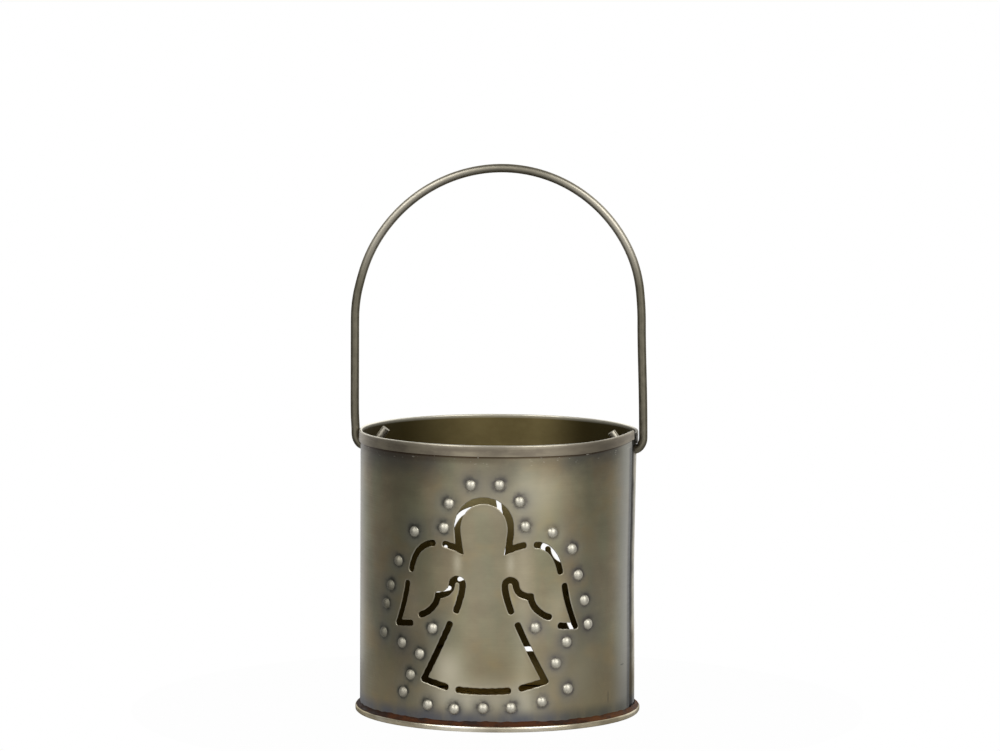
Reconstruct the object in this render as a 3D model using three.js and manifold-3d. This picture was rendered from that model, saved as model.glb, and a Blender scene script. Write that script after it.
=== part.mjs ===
// A small open pail lantern of rolled sheet metal in an antique brass finish. The wall is punched with
// an outlined angel, front and back, inside a ring of embossed domes. A crimped base pan closes the foot,
// and a wire bail swings in two holes under the rim hem.
// Millimetres, +Z up, origin on the ground at the pail's axis. The front angel faces -Y, and the bail's
// pivots lie along X.

import * as THREE from 'three';
import { mergeVertices } from 'three/addons/utils/BufferGeometryUtils.js';
import Module from 'manifold-3d';

// The pail
const pailHeight = 100;
const wallRadius = 48.85;
const sheet = 0.5;
const hemHeight = 4;

// The crimp that joins the wall to the base pan
const seamGap = 0.3;
const flangeCover = 0.65;
const edgeRound = 0.45;
const sealantHeight = 1.5;
const sealantGap = 0.1;

// The side seam, where the sheet's outer end laps over its inner end
const seamAngle = 80;
const lapAngle = 10;
const lapEaseAngle = 25;

// The punched pattern, front and back. The back one is not quite opposite: its angle is from the front.
const backAngle = 175;
const slotWidth = 2.05;
const domeDiameter = 3.5;
const domeHeight = 1.2;
const domeToHem = 8.05;
const domeToSealant = 2.15;

// The bail
const wireDiameter = 3;
const bailTop = 194.1;
const legToHem = 0.5;
const holeClearance = 0.35;
const hemToHole = 0.45;
const hookRun = 2.8;
const hookTurn = 55;
const hookTail = 6.2;

// How finely round shapes are faceted
const wallFacets = 72;
const domeFacets = 8;
const domeSteps = 2;
const hollowFacets = 6;
const hollowSteps = 1;
const holeFacets = 16;
const wireFacets = 12;
const archSteps = 16;
const bendSteps = 6;
const edgeSteps = 2;
const foldSteps = 4;
const headSteps = 11;
const armpitSteps = 6;
const curveSteps = 4;
const hemSlotSteps = 5;
const cornerSteps = 2;

// How far a cutting shape runs past the face that it cuts
const cutPast = 1;

const brass = { color: 0x7b735c, roughness: 0.38, metalness: 1 };
const brownLacquer = { color: 0x4a2a18, roughness: 0.7, metalness: 0 };

// Sizes that follow from the ones above
const wallInside = wallRadius - sheet;
const wallMiddle = wallRadius - sheet / 2;
const hemRadius = wallRadius + sheet;
const hemBottom = pailHeight - hemHeight;
const flangeBottom = sheet + seamGap;
const flangeTop = flangeBottom + sheet;
const lipRadius = wallRadius + seamGap;
const flangeRadius = lipRadius + flangeCover;
const ringInside = flangeRadius + seamGap;
const ringRadius = ringInside + sheet;
const ringHeight = flangeTop + seamGap + sheet;
const sealantTop = ringHeight + sealantHeight;
const domeRadius = domeDiameter / 2;
const wireRadius = wireDiameter / 2;
const holeRadius = wireRadius + holeClearance;
const pivotHeight = hemBottom - hemToHole - holeRadius;
const legReach = hemRadius + legToHem + wireRadius;
const bendRadius = legReach - wallMiddle;
const archCentre = bailTop - wireRadius - legReach;

const wasm = await Module();
wasm.setup();
const toRadians = THREE.MathUtils.degToRad;

// A closed geometry as a solid that can be joined and cut. Triangles that shrink to a line on the axis
// of a turned shape are left out.
function solidOf(geometry) {
  geometry.deleteAttribute('normal');
  geometry.deleteAttribute('uv');
  const merged = mergeVertices(geometry);
  const corners = merged.index.array;
  const faces = [];
  for (let i = 0; i < corners.length; i += 3) {
    const [a, b, c] = corners.slice(i, i + 3);
    if (a !== b && b !== c && c !== a) faces.push(a, b, c);
  }
  return new wasm.Manifold(new wasm.Mesh({
    numProp: 3,
    vertProperties: merged.attributes.position.array,
    triVerts: new Uint32Array(faces),
  }));
}

// A solid as a geometry
function geometryOf(solid) {
  const mesh = solid.getMesh();
  const geometry = new THREE.BufferGeometry();
  geometry.setAttribute('position', new THREE.BufferAttribute(mesh.vertProperties, mesh.numProp));
  geometry.setIndex(new THREE.BufferAttribute(mesh.triVerts, 1));
  geometry.computeVertexNormals();
  return geometry;
}

function named(name, solid, finish) {
  const piece = new THREE.Mesh(geometryOf(solid), new THREE.MeshStandardMaterial(finish));
  piece.name = name;
  return piece;
}

// A profile of [radius, height] points turned about the Z axis
function turned(profile) {
  const points = profile.map(([radius, height]) => new THREE.Vector2(radius, height));
  return solidOf(new THREE.LatheGeometry(points, wallFacets).rotateX(Math.PI / 2));
}

// Points of an arc in a profile, angles in degrees from the outward direction
function arcPoints(centreX, centreY, radius, from, to, steps) {
  return Array.from({ length: steps + 1 }, (_, i) => {
    const angle = toRadians(from + (to - from) * i / steps);
    return [centreX + radius * Math.cos(angle), centreY + radius * Math.sin(angle)];
  });
}

// The wall: a rolled sheet with a foot flange turned out for the crimp, and a hem folded out at the rim
function plainWall() {
  const fold = (hemRadius - wallInside) / 2;
  const start = [wallInside, flangeBottom];
  return turned([
    start,
    [flangeRadius, flangeBottom],
    [flangeRadius, flangeTop],
    [wallRadius, flangeTop],
    [wallRadius, hemBottom],
    [hemRadius, hemBottom],
    ...arcPoints(wallInside + fold, pailHeight - fold, fold, 0, 180, foldSteps),
    start,
  ]);
}

// A strip of wall between two radii that may change with the angle, from the foot flange to the hem.
// Angles are in degrees from the front, turning towards +X.
function wallStrip(fromAngle, toAngle, insideRadius, outsideRadius) {
  const facetAngle = 360 / wallFacets;
  const steps = Math.max(1, Math.round((toAngle - fromAngle) / facetAngle));
  const angles = Array.from({ length: steps + 1 }, (_, i) => fromAngle + (toAngle - fromAngle) * i / steps);
  const at = (angle, radius) => new THREE.Vector2(
    radius * Math.sin(toRadians(angle)),
    -radius * Math.cos(toRadians(angle)),
  );
  const outside = angles.map((angle) => at(angle, outsideRadius(angle)));
  const inside = angles.map((angle) => at(angle, insideRadius(angle)));
  const outline = new THREE.Shape([...outside, ...inside.reverse()]);
  const strip = new THREE.ExtrudeGeometry(outline, { depth: hemBottom - flangeTop, bevelEnabled: false });
  return solidOf(strip.translate(0, 0, flangeTop));
}

// The side seam: past the seam the sheet steps in by its own thickness, eases back out to the round of
// the wall, and its end runs on inside, under the outer end
function withSideSeam(wall) {
  const seamEnd = seamAngle + lapEaseAngle;
  const stepIn = (angle) => sheet * Math.min(1, (seamEnd - angle) / lapEaseAngle);
  const recess = wallStrip(
    seamAngle,
    seamEnd,
    (angle) => wallRadius - stepIn(angle),
    () => wallRadius + cutPast,
  );
  const innerEnd = wallStrip(
    seamAngle - lapAngle,
    seamEnd,
    (angle) => wallInside - stepIn(angle),
    () => wallMiddle,
  );
  return wall.add(innerEnd).subtract(recess);
}

// The angel is drawn on the flat sheet: across from its middle line, and up from the foot of its robe.
// Each slot is a centreline of joined curves, and the paired slots are drawn on the right.
const point = (across, up) => new THREE.Vector2(across, up);
const straight = (from, to, steps) => new THREE.LineCurve(from, to).getPoints(steps);
const bow = (from, pull, to, steps) => new THREE.QuadraticBezierCurve(from, pull, to).getPoints(steps);
const sweep = (from, pullA, pullB, to, steps) =>
  new THREE.CubicBezierCurve(from, pullA, pullB, to).getPoints(steps);
const joined = (...stretches) => stretches.flatMap((stretch, i) => (i > 0 ? stretch.slice(1) : stretch));
const mirrored = (line) => line.map(({ x, y }) => point(-x, y));

// The slot round the head, from one shoulder over the crown to the other
function headSlot() {
  const shoulder = point(14.9, 51);
  const neck = point(8.5, 49.1);
  const temple = point(9.4, 56.7);
  const crown = 66.4;
  const side = joined(
    bow(shoulder, point(11.4, 50.4), neck, cornerSteps),
    bow(neck, point(9.3, 53.1), temple, cornerSteps),
  );
  const over = new THREE.EllipseCurve(0, temple.y, temple.x, crown - temple.y, 0, Math.PI);
  return joined(side, over.getPoints(headSteps), mirrored(side).reverse());
}

// The slot under the hem of the robe, in the middle
function robeHemSlot() {
  return bow(point(-9.75, 0.1), point(0, -0.7), point(9.75, 0.1), hemSlotSteps);
}

// The slots on one side: the wing's shoulder, its tip, its feathers with the armpit, and the robe's side
function sideSlots() {
  const wingShoulder = sweep(
    point(17.5, 50.9),
    point(23, 51),
    point(26.6, 46.8),
    point(27.6, 40.1),
    curveSteps,
  );
  const wingTip = point(33.6, 21.7);
  const wingEdge = joined(
    bow(point(29, 37.1), point(29.9, 30.2), wingTip, curveSteps),
    straight(wingTip, point(26.55, 22.3), cornerSteps),
  );
  const cusp = point(16.5, 32.9);
  const armpit = point(9.35, 36.8);
  const armpitRadius = 1.95;
  const armpitOutside = point(armpit.x + armpitRadius, armpit.y);
  const armpitInside = point(armpit.x - armpitRadius, armpit.y);
  const armpitArch = new THREE.EllipseCurve(armpit.x, armpit.y, armpitRadius, armpitRadius, 0, Math.PI);
  const feathers = joined(
    sweep(point(24.3, 25.1), point(19.4, 26.5), point(16.9, 29.5), cusp, curveSteps),
    sweep(cusp, point(13.2, 32.9), point(11.6, 34.6), armpitOutside, curveSteps),
    armpitArch.getPoints(armpitSteps),
    bow(armpitInside, point(7.3, 34.1), point(10, 26.8), curveSteps),
  );
  const robeCorner = point(22, 3);
  const robeSide = joined(
    bow(point(11.6, 23.9), point(16, 13.8), robeCorner, curveSteps),
    straight(robeCorner, point(12.4, 0.55), cornerSteps),
  );
  return [wingShoulder, wingEdge, feathers, robeSide];
}

// The domes, set by hand round the angel, each [across, up]
const domePlaces = [
  [-4.7, 71.6], [5.4, 71.8], [-12.5, 64.9], [12.5, 66], [-14.4, 56.4], [14.6, 57.3],
  [-26.2, 54.3], [24.4, 54.9], [-33.5, 43.4], [32.1, 48.8], [-37.5, 34.4], [34.7, 39.5],
  [-40, 27.7], [37.5, 30.4], [-41.5, 17.4], [39.2, 21.9], [-31.7, 14.8], [30.1, 16.3],
  [-18.6, 21], [18.3, 21.9], [-23.8, 11.6], [26, 9.1], [-27.7, 3.9], [30.7, -0.2],
  [-31.1, -2.5], [20.8, -4.2], [-20.4, -6.1], [-10.3, -6.9], [0, -6.3], [9.8, -6.1],
];

// The drawing is spread so that its lowest and highest domes keep their distance from foot and hem
const domeHeights = domePlaces.map(([, up]) => up);
const lowestDome = sealantTop + domeToSealant + domeRadius;
const highestDome = hemBottom - domeToHem - domeRadius;
const spread = (highestDome - lowestDome) / (Math.max(...domeHeights) - Math.min(...domeHeights));
const onSheet = (across, up) => point(across * spread, lowestDome + (up - Math.min(...domeHeights)) * spread);

// The outline of a slot of even width along a centreline, with square ends and mitred corners
function slotOutline(line) {
  const left = [];
  const right = [];
  const last = line.length - 1;
  const direction = (from, to) => line[to].clone().sub(line[from]).normalize();
  line.forEach((place, i) => {
    const arriving = direction(Math.max(i - 1, 0), Math.max(i, 1));
    const leaving = direction(Math.min(i, last - 1), Math.min(i + 1, last));
    const mitre = point(-(arriving.y + leaving.y), arriving.x + leaving.x).normalize();
    const reach = slotWidth / 2 / mitre.dot(point(-arriving.y, arriving.x));
    left.push(place.clone().addScaledVector(mitre, reach));
    right.push(place.clone().addScaledVector(mitre, -reach));
  });
  return [...left, ...right.reverse()];
}

// A slot's cutting shape: its outline on the flat sheet, made thick and rolled round the pail's axis.
// Facing is the angle of the pattern's middle line from the front.
function slotCutter(line, facing) {
  const flat = line.map(({ x, y }) => onSheet(x, y));
  const outline = new THREE.Shape(slotOutline(flat));
  const cutter = new THREE.ExtrudeGeometry(outline, { depth: sheet + 2 * cutPast, bevelEnabled: false });
  const places = cutter.attributes.position;
  for (let i = 0; i < places.count; i += 1) {
    const angle = facing + places.getX(i) / wallRadius;
    const radius = wallInside - cutPast + places.getZ(i);
    places.setXYZ(i, radius * Math.sin(angle), -radius * Math.cos(angle), places.getY(i));
  }
  return solidOf(cutter);
}

// The radius of the ball that a round cap is cut from
const ballRadius = (footRadius, height) => (footRadius ** 2 + height ** 2) / (2 * height);

// A round cap standing on a foot sunk below the surface that it rises from, turned about Y
function cap(footRadius, height, sink, facets, steps) {
  const ball = ballRadius(footRadius, height);
  const centre = height - ball;
  const footAngle = THREE.MathUtils.radToDeg(Math.atan2(-centre, footRadius));
  const side = arcPoints(0, centre, ball, footAngle, 90, steps).slice(0, -1);
  const profile = [[0, -sink], [footRadius, -sink], ...side, [0, height]];
  return new THREE.LatheGeometry(profile.map(([x, y]) => point(x, y)), facets);
}

// A shape made standing on +Y, set on the wall at a place on the sheet
function setOnWall(shape, place, facing) {
  const angle = facing + place.x / wallRadius;
  return solidOf(shape.rotateX(Math.PI).translate(0, -wallRadius, place.y).rotateZ(angle));
}

// An embossed dome, and the hollow that the punch leaves behind it, one sheet in from the dome
function domeAt(place, facing) {
  return setOnWall(cap(domeRadius, domeHeight, sheet / 2, domeFacets, domeSteps), place, facing);
}

function hollowAt(place, facing) {
  const ball = ballRadius(domeRadius, domeHeight);
  const mouth = Math.sqrt((ball - sheet) ** 2 - (ball - domeHeight - sheet) ** 2);
  const hollow = cap(mouth, domeHeight, cutPast, hollowFacets, hollowSteps);
  return setOnWall(hollow.translate(0, -sheet, 0), place, facing);
}

const joinAll = (solids) => solids.reduce((whole, solid) => whole.add(solid));

function punchedWall() {
  const pairs = sideSlots();
  const slots = [headSlot(), robeHemSlot(), ...pairs, ...pairs.map(mirrored)];
  const places = domePlaces.map(([across, up]) => onSheet(across, up));
  let wall = withSideSeam(plainWall());
  for (const facing of [0, toRadians(backAngle)]) {
    const cuts = joinAll(slots.map((line) => slotCutter(line, facing)));
    const domes = joinAll(places.map((place) => domeAt(place, facing)));
    const hollows = joinAll(places.map((place) => hollowAt(place, facing)));
    wall = wall.subtract(cuts).add(domes).subtract(hollows);
  }
  const hole = new THREE.CylinderGeometry(holeRadius, holeRadius, 2 * (wallRadius + cutPast), holeFacets);
  return wall.subtract(solidOf(hole.rotateZ(Math.PI / 2).translate(0, 0, pivotHeight)));
}

// The base pan: a flat disc whose edge is curled up and in over the wall's foot flange
function basePan() {
  return turned([
    [0, 0],
    ...arcPoints(ringRadius - edgeRound, edgeRound, edgeRound, -90, 0, edgeSteps),
    ...arcPoints(ringRadius - edgeRound, ringHeight - edgeRound, edgeRound, 0, 90, edgeSteps),
    [lipRadius, ringHeight],
    [lipRadius, ringHeight - sheet],
    [ringInside, ringHeight - sheet],
    [ringInside, sheet],
    [0, sheet],
  ]);
}

// The sealant: a run of brown lacquer in the corner between the curled edge and the wall. Its face is
// hollow, and the middle of the face lies this share of the way out and up.
function footSealant() {
  const faceMiddle = 1 / 3;
  const inside = wallRadius + sealantGap;
  const outside = ringRadius - edgeRound;
  const start = [inside, ringHeight];
  return turned([
    start,
    [outside, ringHeight],
    [inside + (outside - inside) * faceMiddle, ringHeight + sealantHeight * faceMiddle],
    [inside, sealantTop],
    start,
  ]);
}

// A bent wire's middle line, given by its stations
class WireLine extends THREE.Curve {
  constructor(stations) {
    super();
    this.stations = stations;
  }

  station(share) {
    return Math.round(share * (this.stations.length - 1));
  }

  getPointAt(share) {
    return this.stations[this.station(share)].clone();
  }

  getTangentAt(share) {
    const last = this.stations.length - 1;
    const ahead = this.stations[Math.min(this.station(share) + 1, last)];
    const behind = this.stations[Math.max(this.station(share) - 1, 0)];
    return ahead.clone().sub(behind).normalize();
  }
}

// The bail: a half-round arch on straight legs. Each leg bends in through its hole in the wall, runs on a
// little, and is turned up inside so that it can't pull out.
function bailHandle() {
  const turnUp = wallMiddle - hookRun;
  const hook = arcPoints(turnUp, pivotHeight + bendRadius, bendRadius, -90, -90 - hookTurn, bendSteps);
  const [hookX, hookZ] = hook[hook.length - 1];
  const tail = toRadians(hookTurn);
  const right = [
    ...arcPoints(0, archCentre, legReach, 90, 0, archSteps),
    ...arcPoints(wallMiddle, pivotHeight + bendRadius, bendRadius, 0, -90, bendSteps),
    ...hook,
    [hookX - hookTail * Math.cos(tail), hookZ + hookTail * Math.sin(tail)],
  ];
  const left = right.slice(1).map(([x, z]) => [-x, z]).reverse();
  const stations = [...left, ...right].map(([x, z]) => new THREE.Vector3(x, 0, z));
  const section = new THREE.Shape(
    Array.from({ length: wireFacets }, (_, i) => point(wireRadius, 0).rotateAround(
      point(0, 0),
      2 * Math.PI * i / wireFacets,
    )),
  );
  return solidOf(new THREE.ExtrudeGeometry(section, {
    steps: stations.length - 1,
    extrudePath: new WireLine(stations),
  }));
}

const lantern = new THREE.Group();
lantern.name = 'pail_lantern';
lantern.add(
  named('wall_sheet', punchedWall(), brass),
  named('base_pan', basePan(), brass),
  named('foot_sealant', footSealant(), brownLacquer),
  named('bail_handle', bailHandle(), brass),
);

export default lantern;
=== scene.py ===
import math

import bpy
import numpy as np
from mathutils import Matrix, Vector
from mathutils.geometry import delaunay_2d_cdt
from mathutils.kdtree import KDTree


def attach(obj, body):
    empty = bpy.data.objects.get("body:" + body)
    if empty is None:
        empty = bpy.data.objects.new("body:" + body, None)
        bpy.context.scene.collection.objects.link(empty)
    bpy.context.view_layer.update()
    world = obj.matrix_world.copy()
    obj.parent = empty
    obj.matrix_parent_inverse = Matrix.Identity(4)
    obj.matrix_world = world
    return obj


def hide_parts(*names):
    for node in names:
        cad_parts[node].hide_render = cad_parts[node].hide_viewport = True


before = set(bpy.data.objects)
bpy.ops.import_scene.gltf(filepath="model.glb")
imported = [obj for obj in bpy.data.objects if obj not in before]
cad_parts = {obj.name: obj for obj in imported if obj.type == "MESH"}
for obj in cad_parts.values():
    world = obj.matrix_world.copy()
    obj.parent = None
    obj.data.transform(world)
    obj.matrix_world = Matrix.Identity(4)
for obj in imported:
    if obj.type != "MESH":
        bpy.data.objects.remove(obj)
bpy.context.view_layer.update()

# The camera stands a little to the right of the lantern's front and looks slightly down on it, from far
# enough off that the pail's sides stay nearly upright. It leans a little, as the photograph does.
camera_place = (0.1951, -1.8941, 0.3212)
turned_right = 5.87
looking_down = 6.056
camera_lean = 0.005
lens = bpy.data.cameras.new("photo_camera")
lens.lens = 195.03
lens.sensor_width = 36
camera = bpy.data.objects.new("photo_camera", lens)
turn = Matrix.Rotation(math.radians(turned_right), 4, "Z")
tilt = Matrix.Rotation(math.radians(90 - looking_down), 4, "X")
lean = Matrix.Rotation(camera_lean, 4, "Z")
camera.matrix_world = Matrix.Translation(camera_place) @ turn @ tilt @ lean
bpy.context.collection.objects.link(camera)
bpy.context.scene.camera = camera

# The wall is one sheet of brass-plated steel, half a millimetre thick. It is punched and embossed flat,
# rolled round, lapped at the side seam, folded out into a hem at the rim and flanged out at the foot.
mm = 0.001
pail_height = 100
wall_radius = 48.85
sheet = 0.5
middle_radius = wall_radius - sheet / 2
degree = wall_radius * math.radians(1)
hem_bottom = 96
seam_angle = 80
lap_angle = 10
front_slot_width = 2.2
back_slot_width = 1.65
dome_radius = 1.75
dome_height = 1.2
robe_foot = 14.4
back_angle = 185
bail_hole_radius = 1.85
bail_hole_height = 93.7
bail_hole_angles = (-90, -270)
# The seam's angle again, as the sheet's inner end comes round to it
far_seam_angle = seam_angle - 360


def bow(start, pull, end, steps=20):
    t = np.linspace(0, 1, steps + 1)[:, None]
    start, pull, end = (np.array(place, float) for place in (start, pull, end))
    return (1 - t) ** 2 * start + 2 * t * (1 - t) * pull + t ** 2 * end


def sweep(start, pull_a, pull_b, end, steps=24):
    t = np.linspace(0, 1, steps + 1)[:, None]
    start, pull_a, pull_b, end = (np.array(place, float) for place in (start, pull_a, pull_b, end))
    pulled = 3 * t * (1 - t) ** 2 * pull_a + 3 * t ** 2 * (1 - t) * pull_b
    return (1 - t) ** 3 * start + pulled + t ** 3 * end


def arch(centre, half_width, height, steps=40):
    angles = np.linspace(0, math.pi, steps + 1)
    return np.stack([centre[0] + half_width * np.cos(angles), centre[1] + height * np.sin(angles)], 1)


def joined(*stretches):
    return np.concatenate([stretches[0]] + [stretch[1:] for stretch in stretches[1:]])


def mirrored(line):
    return line * np.array([-1, 1])


# The angel is drawn across from its middle line and up from the foot of its robe, each slot by its middle
neck_side = joined(
    bow((14.9, 51), (11.4, 50.4), (8.5, 49.1)),
    bow((8.5, 49.1), (9.3, 53.1), (9.4, 56.7)),
)
head_slot = joined(neck_side, arch((0, 56.7), 9.4, 9.7), mirrored(neck_side)[::-1])
robe_hem_slot = bow((-9.75, 0.1), (0, -0.7), (9.75, 0.1))
wing_shoulder_slot = sweep((17.5, 50.9), (23, 51), (26.6, 46.8), (27.6, 40.1))
wing_edge_slot = joined(
    bow((29, 37.1), (29.9, 30.2), (33.6, 21.7)),
    bow((33.6, 21.7), (30, 21.9), (26.55, 22.3)),
)
feather_slot = joined(
    sweep((24.3, 25.1), (19.4, 26.5), (16.9, 29.5), (16.5, 32.9)),
    sweep((16.5, 32.9), (13.2, 32.9), (11.6, 34.6), (11.3, 36.8)),
    arch((9.35, 36.8), 1.95, 1.95),
    bow((7.4, 36.8), (7.3, 34.1), (10.0, 26.8)),
)
robe_side_slot = joined(
    bow((11.6, 23.9), (16, 13.8), (22, 3)),
    bow((22, 3), (17, 1.8), (12.4, 0.55)),
)
side_slots = [wing_shoulder_slot, wing_edge_slot, feather_slot, robe_side_slot]
front_lower_slots = [robe_hem_slot] + side_slots + [mirrored(line) for line in side_slots]
# On the back angel one wing edge was punched a little longer
long_wing_edge_slot = joined(bow((28.85, 38.1), (28.9, 37.5), (29, 37.1)), wing_edge_slot)
back_lower_slots = [long_wing_edge_slot if line is wing_edge_slot else line for line in front_lower_slots]
dome_places = np.array([
    (-4.7, 71.6), (5.4, 71.8), (-12.5, 64.9), (12.5, 66), (-14.4, 56.4), (14.6, 57.3),
    (-26.2, 54.3), (24.4, 54.9), (-33.5, 43.4), (32.1, 48.8), (-37.5, 34.4), (34.7, 39.5),
    (-40, 27.7), (37.5, 30.4), (-41.5, 17.4), (39.2, 21.9), (-31.7, 14.8), (30.1, 16.3),
    (-18.6, 21), (18.3, 21.9), (-23.8, 11.6), (26, 9.1), (-27.7, 3.9), (30.7, -0.2),
    (-31.1, -2.5), (20.8, -4.2), (-20.4, -6.1), (-10.3, -6.9), (0, -6.3), (9.8, -6.1),
])


def share_between(value, low, high):
    return np.clip((value - low) / (high - low), 0, 1)


def smooth(share):
    return share * share * (3 - 2 * share)


def soft_bump(away, reach):
    return np.exp(-(away / reach) ** 2)


def unit(ways):
    return ways / np.linalg.norm(ways, axis=1)[:, None]


def square_to(ways):
    return np.stack([-ways[:, 1], ways[:, 0]], 1)


def away_from_line(points, line):
    away = np.full(points.shape, np.inf)
    for start, end in zip(line[:-1], line[1:]):
        along = end - start
        share = np.clip((points - start) @ along / (along @ along), 0, 1)
        offset = points - start - share[:, None] * along
        nearer = np.linalg.norm(offset, axis=1) < np.linalg.norm(away, axis=1)
        away[nearer] = offset[nearer]
    return away


def length_along(line):
    return np.concatenate([[0], np.cumsum(np.linalg.norm(np.diff(line, axis=0), axis=1))])


def points_along(line, travelled, stops):
    return np.stack([np.interp(stops, travelled, line[:, axis]) for axis in (0, 1)], 1)


def evenly_spaced(loop, spacing, least_points=8):
    closed = np.vstack([loop, loop[:1]])
    travelled = length_along(closed)
    count = max(least_points, round(travelled[-1] / spacing))
    return points_along(closed, travelled, np.linspace(0, travelled[-1], count, endpoint=False))


# The edge of a slot along its middle line, with rounded ends. The punch is worn, so its corners are eased
# and its edges wobble a little, and an outer corner reaches no further from the middle line than the given
# share of the slot's width. Each wobble is (how deep, how quickly it goes across and up the sheet).
end_round = 0.8
end_steps = 8
sharp_corner = 1
worn_corner = 0.54
wobbles = ((0.05, (2.3, 1.1)), (0.04, (-2.7, 4.1)))
easing = range(-4, 5)
traced_spacing = 0.1
edge_spacing = 0.42
nearly_all = 0.998


def slot_edge(line, slot_width, corner_share):
    travelled = length_along(line)
    near_end = end_round * (1 - np.cos(np.linspace(0, math.pi / 2, end_steps + 1)))
    stops = np.union1d(travelled, np.concatenate([near_end, travelled[-1] - near_end]))
    line = points_along(line, travelled, stops)
    from_end = np.minimum(stops, stops[-1] - stops)
    half_width = slot_width / 2 * np.sqrt(1 - (1 - share_between(from_end, 0, end_round)) ** 2)
    ahead = unit(np.diff(line, axis=0))
    arriving = np.vstack([ahead[:1], ahead])
    leaving = np.vstack([ahead, ahead[-1:]])
    mitre = unit(square_to(arriving + leaving))
    reach = (half_width / np.sum(mitre * square_to(arriving), axis=1))[:, None]
    loop = np.vstack([line + mitre * reach, (line - mitre * reach)[::-1]])
    least = nearly_all * np.concatenate([half_width, half_width[::-1]])
    loop = loop[np.linalg.norm(away_from_line(loop, line), axis=1) > least]
    traced = evenly_spaced(loop, traced_spacing)
    away = away_from_line(traced, line)
    far = np.linalg.norm(away, axis=1)
    too_far = np.maximum(far / (corner_share * slot_width), 1)
    wobble = sum(depth * np.sin(traced @ wave) for depth, wave in wobbles)
    traced = traced + away * (1 / too_far - 1 + wobble / np.maximum(far, slot_width / 4))[:, None]
    eased = sum(np.roll(traced, shift, axis=0) for shift in easing) / len(easing)
    return evenly_spaced(eased, edge_spacing)


# On the sheet, the distance round the pail is measured from the front towards +X. The sheet's outer end is
# at the seam, and its inner end has gone once round, to run on under the outer end.
sheet_end = seam_angle * degree
seam_place = far_seam_angle * degree
sheet_start = seam_place - lap_angle * degree
patterns = [0, -back_angle * degree]
slot_loops = []
pattern_slots = ((front_slot_width, front_lower_slots), (back_slot_width, back_lower_slots))
for pattern, (width, lines) in zip(patterns, pattern_slots):
    edges = [slot_edge(head_slot, width, sharp_corner)]
    edges += [slot_edge(line, width, worn_corner) for line in lines]
    slot_loops += [edge + np.array([pattern, robe_foot]) for edge in edges]


def even_angles(count):
    return np.linspace(0, 2 * math.pi, count, endpoint=False)


def circle(radius, count, start=0):
    angles = even_angles(count) + start
    return radius * np.stack([np.cos(angles), np.sin(angles)], 1)


hole_points = 30
bail_hole = circle(bail_hole_radius, hole_points)
slot_loops += [bail_hole + np.array([angle * degree, bail_hole_height]) for angle in bail_hole_angles]
domes = np.concatenate([dome_places + np.array([pattern, robe_foot]) for pattern in patterns])


def turned_anticlockwise(loop):
    x, y = loop.T
    area = np.sum(x * np.roll(y, -1) - y * np.roll(x, -1))
    return loop if area > 0 else loop[::-1]


def into_sheet(loop):
    return -unit(square_to(np.roll(loop, -1, axis=0) - np.roll(loop, 1, axis=0)))


slot_loops = [turned_anticlockwise(loop) for loop in slot_loops]

# The flat sheet is divided into small triangles that follow the slots and crowd round the domes. Points
# that would lie too close to a slot's burr, to its edge or to a dome are left out. Each ring of points
# round a dome is (its radius, how many points).
edge_round = 0.2
burr_reach = 0.6
burr_height = 0.05
flat_low = 3.2
flat_high = 97.5
column_count = 276
row_count = 80
dome_rings = (
    (0.5, 7), (0.9, 12), (1.2, 16), (1.42, 20), (1.6, 22),
    (1.74, 24), (1.9, 24), (2.1, 24), (2.45, 24), (3.0, 22),
)
clear_of_burr = 0.3
clear_of_edge = 0.4
grid_clear_of_burr = 0.45
grid_clear_of_dome = 3.4
weld_distance = 1e-5
columns = np.linspace(sheet_start, sheet_end, column_count)
rows = np.linspace(flat_low, flat_high, row_count)
border = np.concatenate([
    np.stack([columns, np.full(column_count, flat_low)], 1),
    np.stack([np.full(row_count - 2, sheet_end), rows[1:-1]], 1),
    np.stack([columns[::-1], np.full(column_count, flat_high)], 1),
    np.stack([np.full(row_count - 2, sheet_start), rows[-2:0:-1]], 1),
])
slot_rings = [loop + edge_round * into_sheet(loop) for loop in slot_loops]
dome_points = [domes]
for radius, count in dome_rings:
    dome_points.append((domes[:, None, :] + circle(radius, count, radius)[None, :, :]).reshape(-1, 2))
dome_points = np.concatenate(dome_points)
half_column = (columns[1] - columns[0]) / 2
grid = np.array([
    (across + half_column * (index % 2), up)
    for index, up in enumerate(rows[1:-1])
    for across in columns[1:-2]
])


def distance_to_nearest(points, places):
    finder = KDTree(len(places))
    for index, place in enumerate(places):
        finder.insert((place[0], place[1], 0), index)
    finder.balance()
    return np.array([finder.find((point[0], point[1], 0))[2] for point in points])


ring_places = np.concatenate(slot_rings)
burr_points = np.concatenate([loop + burr_reach * into_sheet(loop) for loop in slot_loops])
burr_points = burr_points[distance_to_nearest(burr_points, ring_places) > clear_of_burr]
grid = grid[distance_to_nearest(grid, domes) > grid_clear_of_dome]
grid = grid[distance_to_nearest(grid, burr_points) > grid_clear_of_burr]
dome_points = dome_points[distance_to_nearest(dome_points, burr_points) > clear_of_burr]
dome_points = dome_points[distance_to_nearest(dome_points, ring_places) > clear_of_edge]


def inside_loop(points, loop):
    crossings = np.zeros(len(points), int)
    for (ax, ay), (bx, by) in zip(loop, np.roll(loop, -1, axis=0)):
        spans = (ay > points[:, 1]) != (by > points[:, 1])
        reach = ax + (points[:, 1] - ay) * (bx - ax) / (by - ay if by != ay else 1)
        crossings += spans & (points[:, 0] < reach)
    return crossings % 2 == 1


def outside_slots(points):
    clear = np.ones(len(points), bool)
    for loop in slot_rings:
        low, high = loop.min(axis=0), loop.max(axis=0)
        near = np.flatnonzero(np.all((points > low) & (points < high), axis=1))
        clear[near] &= ~inside_loop(points[near], loop)
    return clear


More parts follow.
